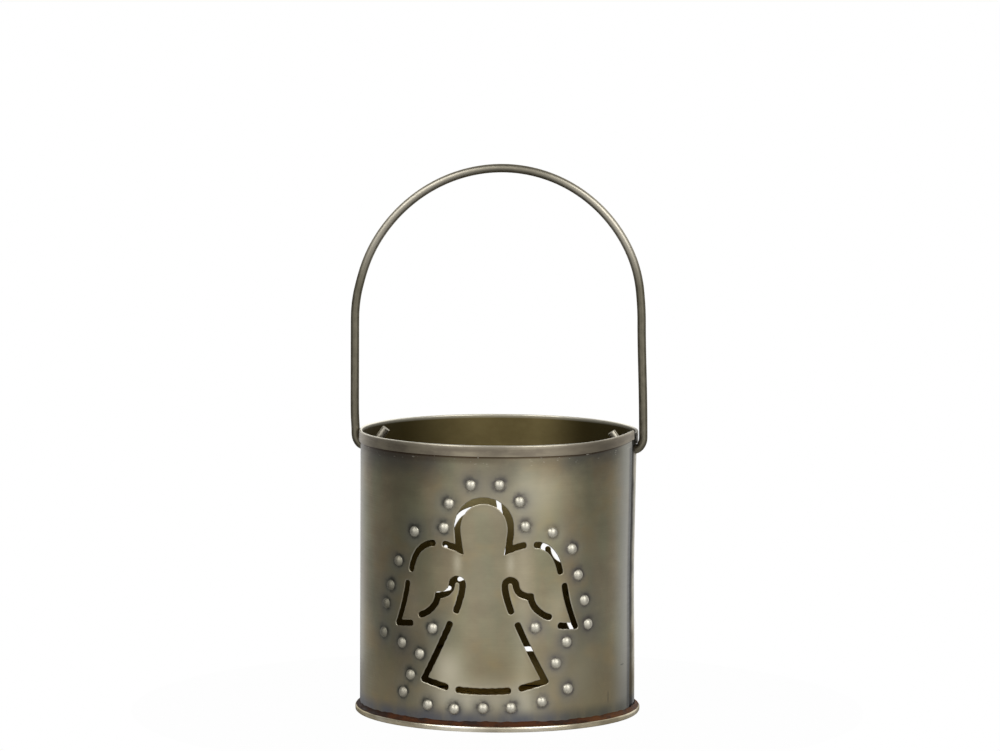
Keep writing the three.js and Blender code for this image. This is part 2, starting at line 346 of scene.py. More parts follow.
flat_points = [border] + slot_rings
flat_points += [points[outside_slots(points)] for points in (grid, dome_points, burr_points)]
flat_edges = []
first = 0
for loop in [border] + slot_rings:
    count = len(loop)
    flat_edges += [(first + index, first + (index + 1) % count) for index in range(count)]
    first += count
flat, _, triangles, came_from, _, _ = delaunay_2d_cdt(
    [tuple(point) for point in np.concatenate(flat_points)], flat_edges, [], 0, weld_distance
)
flat = np.array([tuple(point) for point in flat])
triangles = np.array(triangles)
triangles = triangles[outside_slots(flat[triangles].mean(axis=1))]
now_at = {old: new for new, olds in enumerate(came_from) for old in olds}


# How far the sheet's middle steps in where its inner end runs under its outer end
lap_ease = 25
lap_gap = 0.02


def lap_step(across):
    stepped = smooth(share_between(across / degree, far_seam_angle + lap_ease, far_seam_angle))
    return -(sheet + lap_gap) * stepped


# How far the sheet's middle rises in a dome, in the shallow dish that the punch draws round it, and in the
# burr that it leaves along a slot. The dome is the cap of a ball, eased into the sheet at its foot.
ball_radius = (dome_radius ** 2 + dome_height ** 2) / (2 * dome_height)
ball_floor = 0.01
dome_foot_ease = 0.12
dish_depth = 0.07
dish_ring = 2.6
dish_reach = 1.1
slot_places = np.concatenate(slot_loops)


def rise(across, up):
    places = np.stack([across, up], 1)
    away = distance_to_nearest(places, domes)
    cap = np.sqrt(np.maximum(ball_radius ** 2 - away ** 2, ball_floor)) - (ball_radius - dome_height)
    dome = dome_foot_ease * np.logaddexp(0, cap / dome_foot_ease)
    burr = burr_height * share_between(distance_to_nearest(places, slot_places), burr_reach, 0)
    return dome + burr - dish_depth * soft_bump(away - dish_ring, dish_reach)


# The seam was not closed quite upright: over its last stretch the sheet's outer end falls short, by this
# many degrees at the foot and at the rim
short_at_foot = 2
short_at_rim = 0.5
short_reach = 24


def leaning_seam(across, up):
    near_end = share_between(across, sheet_end - short_reach, sheet_end)
    short = short_at_foot + (short_at_rim - short_at_foot) * up / pail_height
    return across - short * degree * smooth(near_end)


# Beside the seam the wall sags in a little at half height and flares out again under the hem
sag_angle = 90
sag_depth = 0.5
sag_height = 50
sag_reach_up = 24
sag_reach_round = 20
hem_flare_out = 0.2
hem_flare_reach = 14


def seam_sag(across, up):
    from_sag = (across / degree - sag_angle + 180) % 360 - 180
    flare = hem_flare_out * soft_bump(up - pail_height, hem_flare_reach)
    sag = sag_depth * soft_bump(up - sag_height, sag_reach_up)
    return (flare - sag) * soft_bump(from_sag, sag_reach_round)


# Towards the seam the top of the sheet climbs, so that its outer corner stands above the rest of the rim
climb_from = 40
climb_above = 70
climb_power = 1.4
corner_climb = 1.6


def climb(across, up):
    near_seam = share_between(across / degree, climb_from, seam_angle) ** climb_power
    return corner_climb * near_seam * smooth(share_between(up, climb_above, flat_high))


def round_pail(reach, angles, up):
    return np.stack(np.broadcast_arrays(reach * np.sin(angles), -reach * np.cos(angles), up), 1)


def sheet_middle(across, up):
    radius = middle_radius + lap_step(across) + rise(across, up) + seam_sag(across, up)
    return round_pail(radius, leaning_seam(across, up) / wall_radius, up + climb(across, up))


def sheet_facing(across, up, probe=0.03):
    along_sheet = sheet_middle(across + probe, up) - sheet_middle(across - probe, up)
    up_sheet = sheet_middle(across, up + probe) - sheet_middle(across, up - probe)
    return unit(np.cross(along_sheet, up_sheet))


# The wall's mesh is gathered as points, faces, each point's place on the flat sheet, and the side of the
# sheet that it is on
outer_side = 0
cut_side = 0.5
inner_side = 1
wall_points = []
wall_faces = []
wall_places = []
wall_sides = []


def gather(points, places, side):
    start = sum(len(part) for part in wall_points)
    wall_points.append(points)
    wall_places.append(places)
    wall_sides.append(np.full(len(points), side, float))
    return start


def face_strip(lower, upper, closed):
    count = len(lower)
    for index in range(count if closed else count - 1):
        after = (index + 1) % count
        wall_faces.append((lower[index], lower[after], upper[after], upper[index]))


middle = sheet_middle(flat[:, 0], flat[:, 1])
facing = sheet_facing(flat[:, 0], flat[:, 1])
outer_start = gather(middle + facing * sheet / 2, flat, outer_side)
inner_start = gather(middle - facing * sheet / 2, flat, inner_side)
wall_faces += [tuple(outer_start + triangle) for triangle in triangles]
wall_faces += [tuple(inner_start + triangle[::-1]) for triangle in triangles]

# Each slot's cut edge, rounded over at the outside where the punch went in. A step of it is how far back
# into the sheet it lies, and how far out from the sheet's middle.
edge_steps = [(0.085, 0.214), (0.012, 0.118), (0, -0.12), (0.06, -0.215)]
first = len(border)
for loop, ring in zip(slot_loops, slot_rings):
    at_ring = np.array([now_at[first + index] for index in range(len(ring))])
    first += len(ring)
    outer = outer_start + at_ring
    for back, lift in edge_steps:
        edge = loop + back * into_sheet(loop)
        points = sheet_middle(edge[:, 0], edge[:, 1]) + lift * sheet_facing(edge[:, 0], edge[:, 1])
        start = gather(points, edge, cut_side)
        next_ring = np.arange(start, start + len(loop))
        face_strip(outer, next_ring, True)
        outer = next_ring
    face_strip(outer, inner_start + at_ring, True)

# The foot flange and the rim hem carry the sheet on past its flat part. Each step of a profile is
# (radius, height, and the direction that the sheet's outer face looks in).
fold = 0.27
fold_steps = 8
fold_drop = 0.02
fold_height = pail_height - sheet - fold_drop
hem_drops = (1, 2, 3, 3.35)
hem_depth = 3.4
hem_flare = 0.06
hem_start = 98.5
hem_profile = [(middle_radius, up, 1, 0) for up in (hem_start, pail_height - sheet)]
for angle in np.linspace(math.pi, 0, fold_steps + 1)[1:]:
    out, over = math.cos(angle), math.sin(angle)
    hem_profile.append((middle_radius + fold + fold * out, fold_height + fold * over, -out, -over))
for drop in hem_drops:
    flared = middle_radius + 2 * fold + hem_flare * (drop / hem_depth) ** 2
    hem_profile.append((flared, fold_height - drop, -1, 0))
flange_from = 2.2
flange_bend = 0.4
flange_steps = 4
flange_height = 1.05
flange_radius = 49.7
flange_profile = [(middle_radius, flange_from, 1, 0)]
for angle in np.linspace(0, math.pi / 2, flange_steps + 1):
    out, over = math.cos(angle), math.sin(angle)
    bent_radius = middle_radius + flange_bend * (1 - out)
    flange_profile.append((bent_radius, flange_height + flange_bend * (1 - over), out, over))
flange_profile.append((flange_radius, flange_height, 0, 1))


def border_stretch(start, count):
    return [now_at[start + index] for index in range(count)]


side_count = row_count - 2
bottom_row = np.array(border_stretch(0, column_count))
right_column = border_stretch(column_count, side_count)
top_row = np.array(border_stretch(column_count + side_count, column_count))[::-1]
left_column = border_stretch(2 * column_count + side_count, side_count)[::-1]

# The hem's last few millimetres at the seam were folded less tightly, and stand a little proud. Its lower
# edge climbs more than the rim does.
proud_height = 0.3
proud_reach = 2.4
hem_climb_gain = 0.15
proud_end = proud_height * soft_bump(columns - sheet_end, proud_reach)
# Under the lap the inner end has no room for a hem, so its fold is pressed flat into the sheet
press_from = 0.45
press_full = -1.05
press_thinning = 0.2
pressed = share_between(columns / degree - far_seam_angle, press_from, press_full)


def loft(row, profile, upward):
    outer, inner = outer_start + row, inner_start + row
    ends = [[], []]
    travelled = flat_high if upward else flat_low
    before = (middle_radius, travelled)
    flattened = pressed if upward else 0
    swelling = proud_end if upward else 0
    for radius, height, out, rise_out in profile:
        travelled += math.dist(before, (radius, height)) * (1 if upward else -1)
        before = (radius, height)
        angles = leaning_seam(columns, height) / wall_radius
        folded_out = (radius - middle_radius) * (1 - flattened)
        reach = middle_radius + folded_out + lap_step(columns) + seam_sag(columns, height) + swelling
        thinned = 1 - press_thinning * flattened if out < 1 else 1
        climbed = 0
        if upward:
            climb_share = 1 + hem_climb_gain * max(pail_height - sheet - height, 0)
            climbed = climb(columns, max(height, flat_high)) * climb_share
        rings = []
        for side, lift in ((outer_side, sheet / 2), (inner_side, -sheet / 2)):
            points = round_pail(reach + lift * out * thinned, angles, height + lift * rise_out + climbed)
            start = gather(points, np.stack([columns, np.full(column_count, travelled)], 1), side)
            rings.append(np.arange(start, start + column_count))
        if upward:
            face_strip(outer, rings[0], False)
            face_strip(rings[1], inner, False)
        else:
            face_strip(rings[0], outer, False)
            face_strip(inner, rings[1], False)
        outer, inner = rings
        ends[0].append((outer[0], inner[0]))
        ends[1].append((outer[-1], inner[-1]))
    if upward:
        face_strip(outer, inner, False)
    else:
        face_strip(inner, outer, False)
    return ends


foot_ends = loft(bottom_row, flange_profile, False)
rim_ends = loft(top_row, hem_profile, True)


def flat_ends(corner_low, column, corner_high):
    return [(outer_start + index, inner_start + index) for index in [corner_low] + column + [corner_high]]


inner_end = foot_ends[0][::-1] + flat_ends(bottom_row[0], left_column, top_row[0]) + rim_ends[0]
outer_end = foot_ends[1][::-1] + flat_ends(bottom_row[-1], right_column, top_row[-1]) + rim_ends[1]
for (outer_low, inner_low), (outer_high, inner_high) in zip(inner_end[:-1], inner_end[1:]):
    wall_faces.append((outer_low, outer_high, inner_high, inner_low))
for (outer_low, inner_low), (outer_high, inner_high) in zip(outer_end[:-1], outer_end[1:]):
    wall_faces.append((outer_low, inner_low, inner_high, outer_high))


def piece_from(name, points, faces, material, sharp_angle=40):
    mesh = bpy.data.meshes.new(name)
    mesh.from_pydata([tuple(point) for point in np.asarray(points) * mm], [], faces)
    mesh.validate()
    mesh.shade_smooth()
    mesh.set_sharp_from_angle(angle=math.radians(sharp_angle))
    mesh.materials.append(material)
    piece = bpy.data.objects.new(name, mesh)
    bpy.context.collection.objects.link(piece)
    return piece


def paint_number(piece, name, values):
    layer = piece.data.attributes.new(name, "FLOAT", "POINT")
    layer.data.foreach_set("value", np.asarray(values, np.float32))


def paint_place(piece, name, places):
    layer = piece.data.attributes.new(name, "FLOAT_VECTOR", "POINT")
    layer.data.foreach_set("vector", np.asarray(places, np.float32).ravel())


# A material's nodes: what a node is set to, and what its sockets hold or are fed by
def node(tree, kind, settings=None, sockets=None):
    made = tree.nodes.new(kind)
    for name, value in (settings or {}).items():
        setattr(made, name, value)
    for name, value in (sockets or {}).items():
        feed(tree, made.inputs[name], value)
    return made


def feed(tree, socket, value):
    if isinstance(value, bpy.types.NodeSocket):
        tree.links.new(value, socket)
    else:
        socket.default_value = value


def attribute(tree, name, output="Fac"):
    return node(tree, "ShaderNodeAttribute", {"attribute_name": name}).outputs[output]


def noise(tree, place, stretch, detail=4, roughness=0.55):
    spread = node(tree, "ShaderNodeMapping", None, {"Vector": place, "Scale": stretch})
    grain = node(tree, "ShaderNodeTexNoise", None, {
        "Vector": spread.outputs["Vector"],
        "Scale": 1,
        "Detail": detail,
        "Roughness": roughness,
    })
    return grain.outputs["Fac"]


# A value that goes smoothly from one level to another while another value goes from low to high
def ramp(tree, value, low, high, from_level=0, to_level=1):
    made = node(tree, "ShaderNodeMapRange", {"interpolation_type": "SMOOTHSTEP"}, {
        "Value": value,
        "From Min": low,
        "From Max": high,
        "To Min": from_level,
        "To Max": to_level,
    })
    return made.outputs["Result"]


def worked_out(tree, operation, *values):
    result = values[0]
    for value in values[1:]:
        step = node(tree, "ShaderNodeMath", {"operation": operation})
        feed(tree, step.inputs[0], result)
        feed(tree, step.inputs[1], value)
        result = step.outputs["Value"]
    return result


def product(tree, *values):
    return worked_out(tree, "MULTIPLY", *values)


def total(tree, *values):
    return worked_out(tree, "ADD", *values)


def largest(tree, *values):
    return worked_out(tree, "MAXIMUM", *values)


def mixed(tree, share, first_colour, second_colour, blend="MIX"):
    made = node(tree, "ShaderNodeMix", {"data_type": "RGBA", "blend_type": blend})
    feed(tree, made.inputs[0], share)
    feed(tree, made.inputs[6], first_colour)
    feed(tree, made.inputs[7], second_colour)
    return made.outputs[2]


# Lays coats over a colour, one after another, each as (how much of it covers, its colour)
def coated(tree, colour, coats):
    for share, coat in coats:
        colour = mixed(tree, share, colour, coat)
    return colour


def add_relief(tree, shader, strength, depth, height):
    relief = node(tree, "ShaderNodeBump", None, {
        "Strength": strength,
        "Distance": depth,
        "Height": height,
    })
    feed(tree, shader.inputs["Normal"], relief.outputs["Normal"])


def fresh_material(name):
    material = bpy.data.materials.new(name)
    material.use_nodes = True
    tree = material.node_tree
    return material, tree, tree.nodes["Principled BSDF"]


# Antique brass: satin plate with a cloudy brown patina, darker round each dome and along the foot, rubbed
# pale on the domes and cut edges, blackened at the seam, and finely brushed round the pail. The darkening
# round the domes, along the foot, under the hem and beside the seam is partly painted shade. The front
# carries painted highlights and a painted reflection, the rim a painted highlight, and the inside painted
# light and shade.
light_brass = (0.355, 0.317, 0.214, 1)
brown_patina = (0.24, 0.211, 0.144, 1)
brown_tint = (1.04, 0.98, 0.92, 1)
green_tint = (0.96, 1.015, 0.95, 1)
untinted = (1, 1, 1, 1)
edge_grey = (0.285, 0.285, 0.262, 1)
low_brown = (0.27, 0.217, 0.118, 1)
warm_stain = (0.36, 0.265, 0.13, 1)
pale_brass = (0.62, 0.57, 0.43, 1)
brown_halo = (0.16, 0.146, 0.126, 1)
green_halo = (0.107, 0.105, 0.084, 1)
dome_foot_black = (0.047, 0.042, 0.033, 1)
hem_grime_and_shade = (0.1, 0.1, 0.092, 1)
seam_black = (0.06, 0.06, 0.055, 1)
rubbed_metal = (0.6, 0.57, 0.48, 1)
shaded_dome = (0.14, 0.127, 0.092, 1)
bare_brass = (0.5, 0.43, 0.22, 1)
inside_brass = (0.43, 0.36, 0.175, 1)
inside_brown = (0.185, 0.145, 0.06, 1)
inside_dark = (0.04, 0.031, 0.01, 1)
inside_shade = (0.042, 0.028, 0.005, 1)
inside_dim = (0.125, 0.09, 0.026, 1)
inside_foot = (0.6, 0.47, 0.19, 1)
foot_grime_and_shade = (0.138, 0.142, 0.16, 1)
foot_green = (0.128, 0.127, 0.102, 1)
cool_grey = (0.2, 0.2, 0.185, 1)
hem_brass = (0.33, 0.288, 0.21, 1)
hem_brown = (0.22, 0.188, 0.142, 1)
rim_cream = (0.9, 0.87, 0.74, 1)
hem_shadow = (0.06, 0.035, 0.02, 1)
wall_material, tree, shader = fresh_material("antique_brass_sheet")
place = attribute(tree, "sheet_place", "Vector")
place_parts = node(tree, "ShaderNodeSeparateXYZ", None, {"Vector": place})
across = place_parts.outputs["X"]
height = place_parts.outputs["Y"]
around = product(tree, across, 1 / degree)


def by_angle(low, high, from_level=0, to_level=1):
    return ramp(tree, around, low, high, from_level, to_level)


def by_height(low, high, from_level=0, to_level=1):
    return ramp(tree, height, low, high, from_level, to_level)


# The plate's own patina drifts between a brown and a green tint
clouds = noise(tree, place, (0.035, 0.05, 1), 5, 0.6)
smears = noise(tree, place, (0.12, 0.02, 1), 3, 0.5)
brushing = noise(tree, place, (0.05, 3.5, 1), 5, 0.65)
cloudy = product(tree, ramp(tree, clouds, 0.32, 0.68), ramp(tree, smears, 0.2, 0.75, 0.55, 1))
brushed = ramp(tree, brushing, 0.3, 0.7, 0, 0.22)
plate = coated(tree, brown_patina, [(cloudy, light_brass), (brushed, brown_patina)])
drift = ramp(tree, noise(tree, place, (0.09, 0.025, 1), 3), 0.36, 0.64)
plate = mixed(tree, 1, plate, mixed(tree, drift, brown_tint, green_tint), "MULTIPLY")
stains = ramp(tree, noise(tree, place, (0.045, 0.06, 1), 3), 0.5, 0.68, 0, 0.5)
right_grey = by_angle(58, 74, 0, 0.75)
left_grey = product(tree, by_angle(-78, -62, 0.6, 0), by_angle(-118, -82))

# Round each dome the punch left a cool patch, with a dark halo in it and a nearly black ring at its foot.
# The halo and the ring are partly patina and partly painted shade, darker above the dome.
cooled = product(tree, attribute(tree, "dome_cooling"), ramp(tree, smears, 0.3, 0.6, 0.4, 1))
blotches = noise(tree, place, (0.3, 0.3, 1), 4, 0.6)
halo = product(tree, attribute(tree, "dome_halo"), ramp(tree, blotches, 0.35, 0.65, 0.35, 1))
halo_colour = mixed(tree, ramp(tree, across, -22, 6), green_halo, brown_halo)
dome_foot_shade_and_patina = product(tree, ramp(tree, halo, 0.45, 1, 0, 0.85), by_angle(-26, 8, 1, 0.78))

# Just above the foot the wall is darker and bluish, from grime and from painted shade in the corner. Under
# the hem it is darkened by grime and painted shade, less in the front middle, with a painted shadow line
# right under the hem and a fainter painted shadow band a little lower, towards the left.
foot_stain_and_shade = product(tree, by_height(4, 9, 0.95, 0), ramp(tree, smears, 0.3, 0.6, 0.55, 1))
foot_colour = mixed(tree, by_angle(24, 44), foot_grime_and_shade, foot_green)
front_middle = product(tree, by_angle(-28, -10), by_angle(28, 44, 1, 0))
hem_stain_and_shade = product(
    tree,
    by_height(84, hem_bottom, 0, 0.8),
    ramp(tree, clouds, 0.4, 0.6, 1, 0.6),
    by_angle(62, 74, 1, 0.3),
    ramp(tree, front_middle, 0, 1, 1, 0.55),
)
climbing_height = total(tree, height, by_angle(climb_from, seam_angle, 0, -0.8))
below_hem = ramp(tree, climbing_height, hem_bottom - 0.9, hem_bottom - 0.1, 0, 0.85)
hem_line = product(tree, by_height(92.8, 94.8, 0, 0.4), by_angle(-4, 14, 1, 0))
hem_mottle = ramp(tree, noise(tree, place, (0.09, 0.3, 1), 4), 0.35, 0.65)
dull_hem = product(tree, by_angle(19, 33, 0, 0.5), by_angle(58, 72, 1, 0.2))
hem_colour = coated(tree, hem_brown, [(hem_mottle, hem_brass), (dull_hem, hem_brown)])

# Just past the seam the sheet is black with grime and painted shade, where the outer end steps over it.
# Just before the seam a painted shadow darkens the outer end below the hem, and the raw ends in the hem are
# black.
past_seam = total(tree, across, -seam_place, ramp(tree, clouds, 0.3, 0.7, -1.5, 1.5))
seam_grime_and_shade = product(tree, ramp(tree, past_seam, 3, 8.5, 1, 0), by_height(5, 45, 0.55, 1))
before_seam = by_angle(seam_angle - 5, seam_angle - 1.5)
before_seam = product(tree, before_seam, by_height(hem_bottom - 3, hem_bottom, 1, 0))
outer_raw_end = by_angle(seam_angle - 0.9, seam_angle - 0.2, 0, 0.8)
inner_raw_end = ramp(tree, past_seam, 12, 22, 0.45, 0)
raw_end = largest(tree, outer_raw_end, inner_raw_end)
raw_end = product(tree, raw_end, by_height(hem_bottom - 2, hem_bottom))


# A fine dark mark where the sheet was knocked: where it lies and its half sizes
def scratch(beside, up, half_width, half_height):
    aside = product(tree, total(tree, across, -beside), 1 / half_width)
    above = product(tree, total(tree, height, -up), 1 / half_height)
    away = total(tree, product(tree, aside, aside), product(tree, above, above))
    return ramp(tree, away, 0.3, 1, 0.65, 0)


# Wear shows bright metal on the domes, on the slots' burrs and in nicks just under the hem
rubbed = attribute(tree, "rubbed")
# The tops of the domes at the left of each angel are painted dark, as painted shade
dome_shade = attribute(tree, "dome_shade")
burr_wear = ramp(tree, noise(tree, place, (0.12, 0.12, 1), 3), 0.4, 0.65, 0.12, 0.5)
burr_wear = product(tree, attribute(tree, "burr"), burr_wear)
nicks = ramp(tree, noise(tree, place, (0.4, 1.5, 1), 2), 0.66, 0.71, 0, 0.8)
nicks = product(tree, nicks, by_height(92, 95), by_height(hem_bottom, flat_high, 1, 0))

# The inside is painted with light and shade. Its brass is lightest partway up, where light comes in at the
# opening. Towards the rim it is painted darker, with a painted glow in the middle of its far side. Lower
# down it lies in painted shade, less on its far side, with a painted pool of light at the foot there, and
# clouds darken it in places.
inside = attribute(tree, "inside")
rim_glow = product(tree, by_angle(-216, -190), by_angle(-174, -125, 1, 0))
low_glow = product(tree, by_angle(-205, -188), by_angle(-163, -143, 1, 0))
inside_colour = coated(tree, inside_brass, [
    (by_height(74, 86), mixed(tree, rim_glow, inside_dark, inside_brown)),
    (ramp(tree, clouds, 0.35, 0.65, 0.35, 0), inside_shade),
    (by_height(52, 76, 1, 0), mixed(tree, low_glow, inside_shade, inside_dim)),
    (product(tree, by_height(4, 14, 0.8, 0), low_glow), inside_foot),
])
colour = coated(tree, plate, [
    (by_height(6, 38, 0.6, 0), low_brown),
    (stains, warm_stain),
    (right_grey, edge_grey),
    (left_grey, edge_grey),
    (attribute(tree, "pale_and_highlight"), pale_brass),
    (cooled, cool_grey),
    (ramp(tree, halo, 0, 0.6), halo_colour),
    (dome_foot_shade_and_patina, dome_foot_black),
    (foot_stain_and_shade, foot_colour),
    (hem_stain_and_shade, hem_grime_and_shade),
    (below_hem, hem_shadow),
    (hem_line, hem_shadow),
    (by_height(hem_bottom + 0.5, flat_high), hem_colour),
    (seam_grime_and_shade, seam_black),
    (before_seam, seam_black),
    (scratch(60.4, 19.65, 1.9, 0.3), seam_black),
    (scratch(50, 9.3, 0.28, 2.8), seam_black),
    (attribute(tree, "bare"), bare_brass),
    (rubbed, rubbed_metal),
    (product(tree, dome_shade, 0.5), shaded_dome),
    (burr_wear, rubbed_metal),
    (nicks, rubbed_metal),
    (inside, inside_colour),
    (attribute(tree, "rim"), rim_cream),
    (raw_end, seam_black),
])
feed(tree, shader.inputs["Base Color"], colour)
feed(tree, shader.inputs["Metallic"], ramp(tree, inside, 0, 1, 1, 0.4))
# Reflections are painted darker, as painted shade, low on the left side and on the sheet just past the
# seam, and the raw ends reflect darkly
left_glance_shade = product(tree, by_angle(-118, -96), by_angle(-86, -73, 1, 0), by_height(5, 80, 0.8, 0))
seam_glance_shade = ramp(tree, past_seam, 3, 10, 0.65, 0)
glance_shade_and_raw_end = largest(tree, left_glance_shade, seam_glance_shade, raw_end)
feed(tree, shader.inputs["Specular Tint"], mixed(tree, glance_shade_and_raw_end, untinted, seam_black))
roughness = total(
    tree,
    ramp(tree, brushing, 0.25, 0.75, 0.33, 0.43),
    product(tree, rubbed, 0.12),
    product(tree, dome_shade, 0.22),
    product(tree, inside, 0.15),
)
feed(tree, shader.inputs["Roughness"], roughness)
shader.inputs["Specular IOR Level"].default_value = 0.1
shader.inputs["Anisotropic"].default_value = 0.25
shader.inputs["Anisotropic Rotation"].default_value = 0.25
round_axis = node(tree, "ShaderNodeTangent", {"direction_type": "RADIAL", "axis": "Z"})
feed(tree, shader.inputs["Tangent"], round_axis.outputs["Tangent"])
add_relief(tree, shader, 0.12, 0.0002, brushing)

wall_places = np.concatenate(wall_places)
wall_sides = np.concatenate(wall_sides)
wall = piece_from("wall", np.concatenate(wall_points), wall_faces, wall_material)
wall_across, wall_heights = wall_places.T
wall_angles = wall_across / degree
on_outside = wall_sides == outer_side
on_inside = wall_sides == inner_side
paint_place(wall, "sheet_place", np.column_stack([wall_places, np.zeros(len(wall_places))]))


# Soft-edged patches on the front and back patterns, each as (where it lies, its half sizes, its strength)
def patches(places):
    covered = np.zeros(len(wall_places))
    for beside, up, half_width, half_height, strength in places:
        shares = [
            soft_bump(wall_across - pattern - beside, half_width)
            * soft_bump(wall_heights - robe_foot - up, half_height)
            for pattern in patterns
        ]
        covered += strength * np.maximum(*shares)
    return np.minimum(covered, 1) * on_outside


# Pale patches: painted highlights beside the neck and low on the robe's left, and the broad patch low in
# the middle is a painted reflection of the white table. The others make the plate paler.
pale_and_highlight_places = [
    (-9.3, 44.3, 1.4, 3.8, 0.55), (9.3, 44.3, 1.4, 3.8, 0.55), (-13, 7, 6, 7, 0.85),
    (0, -3, 20, 6, 0.75), (-27, 28, 4.5, 9, 0.3), (20, 68, 8, 10, 0.35), (5, 69, 11, 9, 0.35),
    (27, 28, 4, 9, 0.25), (13.6, 40, 3.4, 70, 0.25), (-10, -4, 8, 4, 0.4), (0, 38, 11, 24, 0.2),
    (37, 5, 6, 12, 0.18), (44, 26, 8, 28, 0.18), (13.6, -6, 4, 6, 0.4),
]
bare_places = [(-9.4, 31, 1.2, 4, 0.6), (9.4, 31, 1.2, 4, 0.45), (23, 58, 6, 8, 0.25)]
shaded_dome_places = [
    (-42, 30, 12, 22, 1.2), (-30, 1, 8, 13, 0.38), (-33.5, 43.4, 4, 5, 0.25), (-26.2, 54.3, 4, 5, 0.3),
]
paint_number(wall, "pale_and_highlight", patches(pale_and_highlight_places))
paint_number(wall, "bare", patches(bare_places))

# Each dome is rubbed on top, but at the left of each angel its top is painted dark as painted shade. Its
# halo, partly patina from the punch and partly painted shade, lies a little above its middle.
rubbed_within = 1.42
rubbed_until = 1.92
cooling = 0.7
cooling_reach = 5.5
halo_above = 0.25
halo_from = 1.5
halo_reach = 1.35
halo_power = 1.6
to_dome = distance_to_nearest(wall_places, domes)
to_halo = distance_to_nearest(wall_places, domes + np.array([0, halo_above]))
on_dome = share_between(to_dome, rubbed_until, rubbed_within)
shaded_domes = patches(shaded_dome_places)
halo_fade = np.exp(-(np.maximum(to_halo - halo_from, 0) / halo_reach) ** halo_power)
paint_number(wall, "rubbed", on_dome * on_outside * (1 - shaded_domes))
paint_number(wall, "dome_shade", on_dome * on_outside * shaded_domes)
paint_number(wall, "dome_cooling", cooling * soft_bump(to_dome, cooling_reach) * ~on_inside)
paint_number(wall, "dome_halo", halo_fade * (1 - on_dome) * ~on_inside)

# The slots' edges are rubbed, and the rim's top is rubbed and painted with a cream highlight, less on its
# right and hardly at all past the seam
edge_rubbed_within = 0.1
edge_rubbed_until = 0.3
rim_drop = 0.18
rim_reach = 0.32
rim_wear_and_sheen_left = 0.9
rim_wear_and_sheen_right = 0.3
rim_wear_and_sheen_at_seam = 0.15
# In degrees, to the right of the front and then on past the seam
rim_falls_from = 25
rim_falls_until = 50
rim_grows_from = 22.4
rim_grows_until = 36.4
to_slot = distance_to_nearest(wall_places, slot_places)
paint_number(wall, "burr", share_between(to_slot, edge_rubbed_until, edge_rubbed_within))
to_right = share_between(wall_angles, rim_falls_from, rim_falls_until)
clear_of_seam = share_between(wall_angles - far_seam_angle, rim_grows_from, rim_grows_until)
rim_wear_and_sheen = soft_bump(wall_heights - pail_height + rim_drop, rim_reach)
rim_wear_and_sheen *= rim_wear_and_sheen_left + (rim_wear_and_sheen_right - rim_wear_and_sheen_left) * to_right
rim_wear_and_sheen *= rim_wear_and_sheen_at_seam + (1 - rim_wear_and_sheen_at_seam) * clear_of_seam
paint_number(wall, "rim", rim_wear_and_sheen)
over_rim = wall_heights > pail_height - sheet
paint_number(wall, "inside", on_inside & ~over_rim)
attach(wall, "pail")
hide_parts("wall_sheet")

# The base pan is a disc of the same sheet. Its edge is curled up and pressed in over the wall's foot
# flange, which leaves a low rounded ring all round the foot.
pan_radius = 50.6
pan_inside = pan_radius - sheet
pan_lip = 49.15
lip_width = 0.15
lip_drop = 0.12
ring_height = 2.1
ring_round = 0.8
ring_steps = 8
pan_segments = 288
underside_rings = (2, 20, 40, 48)
floor_rings = (48.2, 40, 20, 2)


def corner(centre_x, centre_y, radius, start, end, steps):
    angles = np.radians(np.linspace(start, end, steps + 1))
    return [(centre_x + radius * math.cos(a), centre_y + radius * math.sin(a)) for a in angles]


ring_centre = pan_radius - ring_round
pan_profile = [(radius, 0) for radius in underside_rings]
pan_profile += corner(ring_centre, ring_round, ring_round, -90, 0, ring_steps)
pan_profile += corner(ring_centre, ring_height - ring_round, ring_round, 0, 90, ring_steps)
pan_profile += [(pan_lip + lip_width, ring_height), (pan_lip, ring_height - lip_drop)]
pan_profile += [(pan_lip, ring_height - sheet), (pan_inside, ring_height - sheet), (pan_inside, sheet)]
pan_profile += [(radius, sheet) for radius in floor_rings]

# The pressed ring is not quite even: the crimping wheel leaves it a little wavy. Each wave is (how deep,
# how many round the pail, where it starts).
crimp_waves = ((0.04, 23, 1), (0.03, 41, 0))
crimp_inset = 0.07
crimp_beyond = 49
crimp_above = 0.2
pan_angles = even_angles(pan_segments)
crimp = sum(depth * np.sin(count * pan_angles + start) for depth, count, start in crimp_waves) - crimp_inset


def ring_faces(lower, upper, count):
    low, high = lower * count, upper * count
    return [
        (low + index, low + (index + 1) % count, high + (index + 1) % count, high + index)
        for index in range(count)
    ]


pan_points = []
pan_faces = [tuple(range(pan_segments))[::-1]]
for step, (radius, up) in enumerate(pan_profile):
    crimped = radius >= crimp_beyond and up >= crimp_above
    pan_points.append(round_pail(radius + crimp if crimped else radius, pan_angles, up))
    if step:
        pan_faces += ring_faces(step - 1, step, pan_segments)
pan_points = np.concatenate(pan_points)
pan_faces.append(tuple(range(len(pan_points) - pan_segments, len(pan_points))))

ring_brass = (0.6, 0.53, 0.38, 1)
ring_patina = (0.35, 0.3, 0.21, 1)
ring_polish_and_sheen = (0.95, 0.9, 0.76, 1)
ring_glance = (0.6, 0.57, 0.5, 1)
